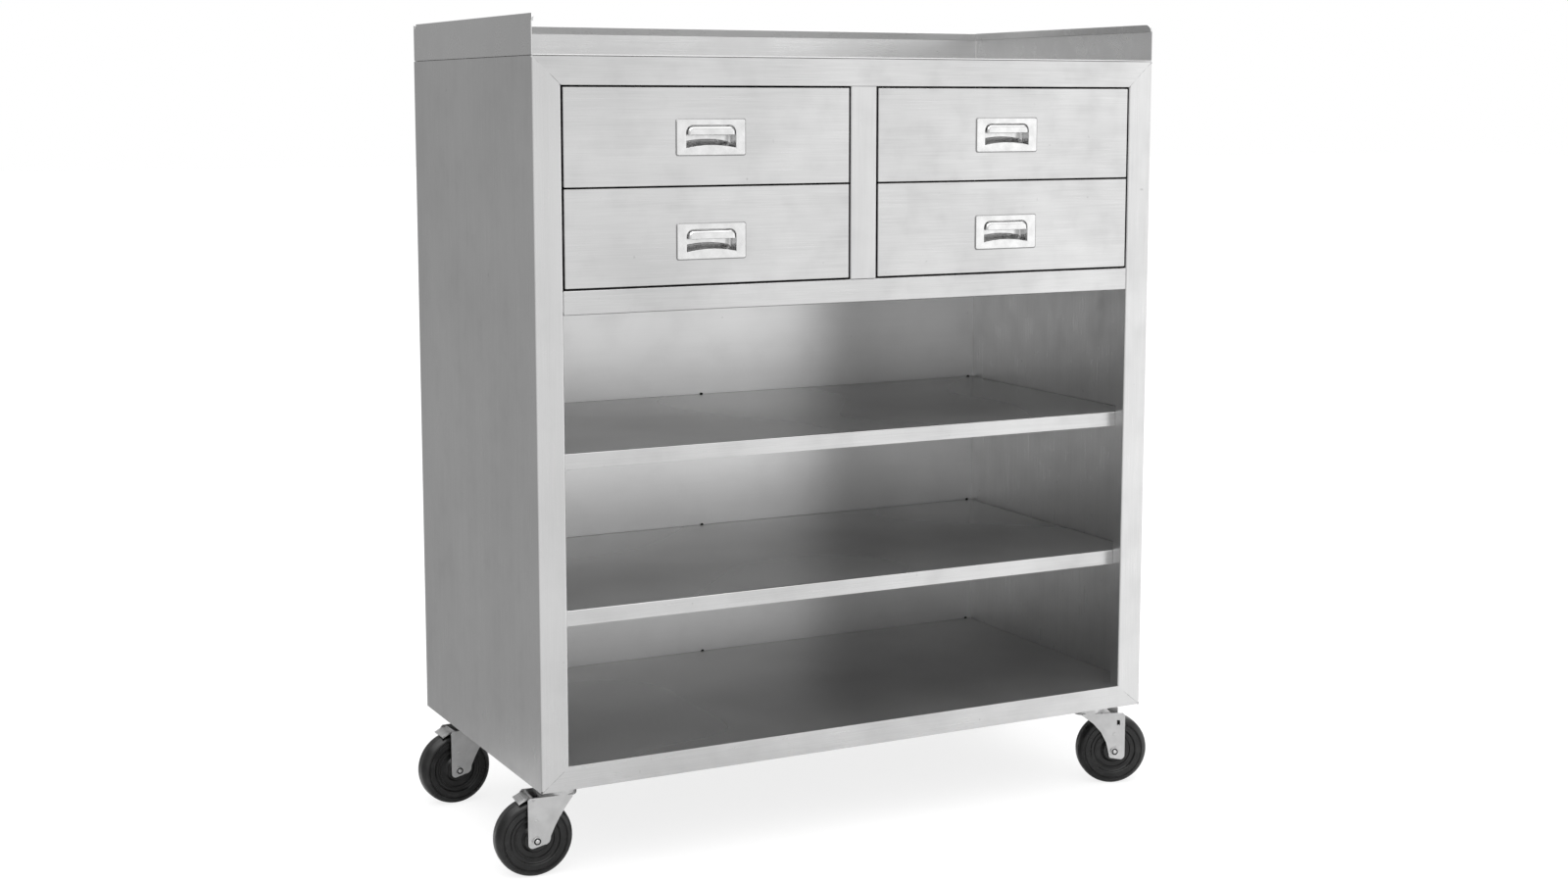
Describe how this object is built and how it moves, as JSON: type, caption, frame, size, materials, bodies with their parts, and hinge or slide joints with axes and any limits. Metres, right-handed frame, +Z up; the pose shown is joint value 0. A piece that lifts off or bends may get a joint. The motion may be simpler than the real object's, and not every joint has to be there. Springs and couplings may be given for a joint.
{
  "type": "mobile storage cabinet",
  "caption": "Stainless storage cabinet on braked swivel castors, with a worktop between upstands, drawers in two columns with recessed pulls, and open shelves below.",
  "frame": {"origin": "on the floor under the middle of the whole", "axes": "+Z up; the front with the drawers faces -Y; +X to the viewer's right from the front"},
  "size_m": [0.9747, 0.454, 1.074],
  "materials": {
    "brushed_stainless": "brushed stainless sheet with dressed corner welds",
    "inside_stainless": "plain mill-finish stainless sheet",
    "pressed_stainless": "pressed and polished stainless",
    "zinc_plated_steel": "bright zinc plate",
    "black_rubber": "solid dark rubber with turned rings"
  },
  "bodies": {
    "cabinet": {"worktop": "brushed_stainless", "side_panel_left": "brushed_stainless", "side_panel_right": "brushed_stainless", "back_panel": "brushed_stainless", "stile_left": "brushed_stainless", "stile_right": "brushed_stainless", "stile_centre": "brushed_stainless", "top_rail": "brushed_stainless", "mid_rail": "brushed_stainless", "bottom_shelf": "brushed_stainless", "shelf_upper": "brushed_stainless", "shelf_lower": "brushed_stainless", "drawer_deck": "inside_stainless", "drawer_divider": "inside_stainless", "slide_upper_left_outer_cabinet": "zinc_plated_steel", "slide_upper_left_inner_cabinet": "zinc_plated_steel", "slide_upper_right_outer_cabinet": "zinc_plated_steel", "slide_upper_right_inner_cabinet": "zinc_plated_steel", "slide_lower_left_outer_cabinet": "zinc_plated_steel", "slide_lower_left_inner_cabinet": "zinc_plated_steel", "slide_lower_right_outer_cabinet": "zinc_plated_steel", "slide_lower_right_inner_cabinet": "zinc_plated_steel", "castor_front_left_plate": "zinc_plated_steel", "castor_front_right_plate": "zinc_plated_steel", "castor_rear_left_plate": "zinc_plated_steel", "castor_rear_right_plate": "zinc_plated_steel"},
    "drawer_upper_left": {"drawer_upper_left_front": "brushed_stainless", "drawer_upper_left_box": "inside_stainless", "drawer_upper_left_pull": "pressed_stainless", "slide_upper_left_outer_drawer": "zinc_plated_steel", "slide_upper_left_inner_drawer": "zinc_plated_steel"},
    "drawer_upper_right": {"drawer_upper_right_front": "brushed_stainless", "drawer_upper_right_box": "inside_stainless", "drawer_upper_right_pull": "pressed_stainless", "slide_upper_right_outer_drawer": "zinc_plated_steel", "slide_upper_right_inner_drawer": "zinc_plated_steel"},
    "drawer_lower_left": {"drawer_lower_left_front": "brushed_stainless", "drawer_lower_left_box": "inside_stainless", "drawer_lower_left_pull": "pressed_stainless", "slide_lower_left_outer_drawer": "zinc_plated_steel", "slide_lower_left_inner_drawer": "zinc_plated_steel"},
    "drawer_lower_right": {"drawer_lower_right_front": "brushed_stainless", "drawer_lower_right_box": "inside_stainless", "drawer_lower_right_pull": "pressed_stainless", "slide_lower_right_outer_drawer": "zinc_plated_steel", "slide_lower_right_inner_drawer": "zinc_plated_steel"},
    "castor_front_left_swivel": {"castor_front_left_fork": "zinc_plated_steel", "castor_front_left_axle": "zinc_plated_steel"},
    "castor_front_left_wheel": {"castor_front_left_wheel": "black_rubber"},
    "castor_front_left_brake": {"castor_front_left_brake_pedal": "zinc_plated_steel"},
    "castor_front_right_swivel": {"castor_front_right_fork": "zinc_plated_steel", "castor_front_right_axle": "zinc_plated_steel"},
    "castor_front_right_wheel": {"castor_front_right_wheel": "black_rubber"},
    "castor_rear_left_swivel": {"castor_rear_left_fork": "zinc_plated_steel", "castor_rear_left_axle": "zinc_plated_steel"},
    "castor_rear_left_wheel": {"castor_rear_left_wheel": "black_rubber"},
    "castor_rear_left_brake": {"castor_rear_left_brake_pedal": "zinc_plated_steel"},
    "castor_rear_right_swivel": {"castor_rear_right_fork": "zinc_plated_steel", "castor_rear_right_axle": "zinc_plated_steel"},
    "castor_rear_right_wheel": {"castor_rear_right_wheel": "black_rubber"}
  },
  "joints": [
    {"name": "drawer_upper_left_slide", "type": "slide", "parent": "cabinet", "child": "drawer_upper_left", "axis": [0, -1, 0], "range_m": [0, 0.3]},
    {"name": "drawer_upper_right_slide", "type": "slide", "parent": "cabinet", "child": "drawer_upper_right", "axis": [0, -1, 0], "range_m": [0, 0.3]},
    {"name": "drawer_lower_left_slide", "type": "slide", "parent": "cabinet", "child": "drawer_lower_left", "axis": [0, -1, 0], "range_m": [0, 0.3]},
    {"name": "drawer_lower_right_slide", "type": "slide", "parent": "cabinet", "child": "drawer_lower_right", "axis": [0, -1, 0], "range_m": [0, 0.3]},
    {"name": "castor_front_left_swivel", "type": "hinge", "parent": "cabinet", "child": "castor_front_left_swivel", "pos_m": [-0.404, -0.163, 0.11], "axis": [0, 0, 1], "continuous": true},
    {"name": "castor_front_left_wheel_spin", "type": "hinge", "parent": "castor_front_left_swivel", "child": "castor_front_left_wheel", "pos_m": [-0.43881, -0.15934, 0.05], "axis": [0.1045, 0.9945, 0], "continuous": true},
    {"name": "castor_front_left_brake_pivot", "type": "hinge", "parent": "castor_front_left_swivel", "child": "castor_front_left_brake", "pos_m": [-0.44279, -0.15892, 0.1028], "axis": [0.1045, 0.9945, 0], "range_deg": [-4, 22]},
    {"name": "castor_front_right_swivel", "type": "hinge", "parent": "cabinet", "child": "castor_front_right_swivel", "pos_m": [0.404, -0.163, 0.11], "axis": [0, 0, 1], "continuous": true},
    {"name": "castor_front_right_wheel_spin", "type": "hinge", "parent": "castor_front_right_swivel", "child": "castor_front_right_wheel", "pos_m": [0.43667, -0.17554, 0.05], "axis": [-0.3584, -0.9336, 0], "continuous": true},
    {"name": "castor_rear_left_swivel", "type": "hinge", "parent": "cabinet", "child": "castor_rear_left_swivel", "pos_m": [-0.398, 0.167, 0.11], "axis": [0, 0, 1], "continuous": true},
    {"name": "castor_rear_left_wheel_spin", "type": "hinge", "parent": "castor_rear_left_swivel", "child": "castor_rear_left_wheel", "pos_m": [-0.43298, 0.16578, 0.05], "axis": [-0.0349, 0.9994, 0], "continuous": true},
    {"name": "castor_rear_left_brake_pivot", "type": "hinge", "parent": "castor_rear_left_swivel", "child": "castor_rear_left_brake", "pos_m": [-0.43698, 0.16564, 0.1028], "axis": [-0.0349, 0.9994, 0], "range_deg": [-4, 22]},
    {"name": "castor_rear_right_swivel", "type": "hinge", "parent": "cabinet", "child": "castor_rear_right_swivel", "pos_m": [0.398, 0.167, 0.11], "axis": [0, 0, 1], "continuous": true},
    {"name": "castor_rear_right_wheel_spin", "type": "hinge", "parent": "castor_rear_right_swivel", "child": "castor_rear_right_wheel", "pos_m": [0.43281, 0.16334, 0.05], "axis": [-0.1045, -0.9945, 0], "continuous": true}
  ]
}
